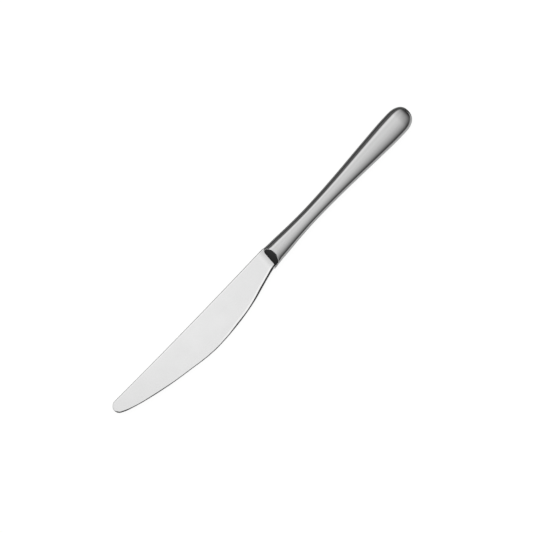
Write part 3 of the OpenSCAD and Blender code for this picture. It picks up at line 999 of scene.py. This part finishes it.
def paper(tree, place):
    """White paper under the camera: white to it, with the knife's soft shadow left on it. To the steel's
    reflections it glows instead as a strip of painted light and painted shadow.
    """
    ray = add(tree, "LightPath")
    matt = add(tree, "BsdfDiffuse", {"Color": (PAPER_GREY, PAPER_GREY, PAPER_GREY, 1)})
    # To the camera the paper is lifted to white, so that only the darkest of the shadow is left
    lift = add(tree, "Math", {0: ray.outputs["Is Camera Ray"], 1: PAPER_LIFT}, operation="MULTIPLY")
    glow = add(tree, "Emission", {"Color": (1, 1, 1, 1), "Strength": lift})
    lifted = add(tree, "AddShader", {0: matt, 1: glow})
    # To the polished steel it is a strip of light and dark beside the knife, as in the photograph
    from_axis = add(tree, "VectorMath", {0: place, 1: axis_place()}, operation="SUBTRACT")
    split = add(tree, "SeparateXYZ", {"Vector": from_axis})
    levels = [(y * MM, level) for y, level in PAINTED_FLOOR_REFLECTION]
    strip = grey_ramp(tree, split.outputs["Y"], levels, levels[-1][0])
    # Painted reflection: an emission that only glossy rays see, dark right beside the knife as painted shadow
    # and in lighter bands further out as painted light
    beside = add(tree, "Emission", {"Color": strip})
    both = add(tree, "MixShader", {"Fac": ray.outputs["Is Glossy Ray"], 1: lifted, 2: beside})
    # From below, the paper lets the knife be seen
    side = add(tree, "NewGeometry")
    clear = add(tree, "BsdfTransparent")
    return add(tree, "MixShader", {"Fac": side.outputs["Backfacing"], 1: both, 2: clear})


def floor():
    """A white floor, which the steel's reflections see as a strip of painted light and painted shadow."""
    sheet = primitive(bpy.ops.mesh.primitive_plane_add, "floor", size=FLOOR_WIDTH, location=(0, 0, 0))
    sheet.data.materials.append(finish_of("White paper", paper))


def light(toward, across):
    """Soft light all round: a wide overhead panel with one crisp edge, over a darker room."""
    world = bpy.data.worlds.new("Studio")
    bpy.context.scene.world = world
    tree = cleared_tree(world)
    ray = add(tree, "LightPath")
    look = add(tree, "TexCoord").outputs["Generated"]
    up, over, along = (add(tree, "VectorMath", {0: look, 1: way}, operation="DOT_PRODUCT")
                       for way in (toward, across, (1, 0, 0)))
    # Angle from the camera's direction, across the knife and along it, from -180 to 180 degrees
    swing = add(tree, "Math", {0: over, 1: up}, operation="ARCTAN2")
    tip = add(tree, "Math", {0: along}, operation="ARCSINE")
    begin, end, most = (math.radians(a) for a in SKEW)
    askew = add(tree, "MapRange", {"Value": tip, "From Min": begin, "From Max": end, "To Max": most})
    hung = add(tree, "Math", {0: swing, 1: askew}, operation="ADD")
    bands = [grey_ramp(tree, turned, [(math.radians(a), level) for a, level in levels], math.pi)
             for turned, levels in ((hung, ACROSS), (tip, ALONG), (tip, ROOM))]
    panel = add(tree, "Mix", {"Factor": 1.0, "A": bands[0], "B": bands[1]}, data_type="RGBA",
                blend_type="MULTIPLY")
    room = add(tree, "Mix", {"Factor": 1.0, "A": panel, "B": bands[2]}, data_type="RGBA", blend_type="ADD")
    seen = add(tree, "Mix", {"Factor": ray.outputs["Is Camera Ray"], "A": room, "B": (1, 1, 1, 1)},
               data_type="RGBA")
    add(tree, "OutputWorld", {"Surface": add(tree, "Background", {"Color": seen})})


class KNIFE_OT_stage(bpy.types.Operator):
    """Set the floor, the studio light and the camera"""
    bl_idname = "knife.stage"
    bl_label = "Stage"

    def execute(self, context):
        s = context.scene.knife_stage
        toward = Vector((0, math.sin(s.side_lean), math.cos(s.side_lean)))
        across = Vector((0, math.cos(s.side_lean), -math.sin(s.side_lean)))
        floor()
        light(toward, across)
        along = Vector((1, 0, 0))
        right = along * math.cos(s.picture_turn) - across * math.sin(s.picture_turn)
        upward = along * math.sin(s.picture_turn) + across * math.cos(s.picture_turn)
        bpy.ops.object.camera_add()
        camera = context.object
        camera.data.lens = SENSOR * s.camera_distance / s.view_width
        camera.data.clip_start, camera.data.clip_end = SEEN_FROM, SEEN_TO
        middle = Vector((s.centre_x, s.centre_y, (CAD_LOW.z + CAD_HIGH.z) / 2))
        turned = Matrix((right, upward, toward)).transposed().to_4x4()
        turned.translation = middle + toward * s.camera_distance
        camera.matrix_world = turned
        context.scene.camera = camera
        context.scene.view_settings.view_transform = "Standard"
        return {"FINISHED"}


class KNIFE_PT_sidebar(bpy.types.Panel):
    """Lists the knife's pieces and its sizes"""
    bl_label = "Table Knife"
    bl_idname = "KNIFE_PT_sidebar"
    bl_space_type = "VIEW_3D"
    bl_region_type = "UI"
    bl_category = "Table Knife"

    def draw(self, context):
        column = self.layout.column(align=True)
        for operator in OPERATORS:
            column.operator(operator.bl_idname)
        for group in GROUPS:
            box = self.layout.box()
            settings = getattr(context.scene, group)
            for name in settings.bl_rna.properties.keys():
                if name not in ("rna_type", "name"):
                    box.prop(settings, name)


GROUPS = {"knife_blade": KnifeBladeSizes, "knife_handle": KnifeHandleSizes, "knife_finish": KnifeFinish,
          "knife_stage": KnifeStageSettings}
OPERATORS = (KNIFE_OT_blade, KNIFE_OT_handle, KNIFE_OT_filler, KNIFE_OT_stage)
CLASSES = (*GROUPS.values(), *OPERATORS, KNIFE_PT_sidebar)


def register():
    for kind in CLASSES:
        bpy.utils.register_class(kind)
    for name, kind in GROUPS.items():
        setattr(bpy.types.Scene, name, PointerProperty(type=kind))


def unregister():
    for name in GROUPS:
        delattr(bpy.types.Scene, name)
    for kind in reversed(CLASSES):
        bpy.utils.unregister_class(kind)


def main():
    register()
    bpy.ops.knife.blade()
    bpy.ops.knife.handle()
    bpy.ops.knife.filler()
    bpy.ops.knife.stage()


if __name__ == "__main__":
    main()
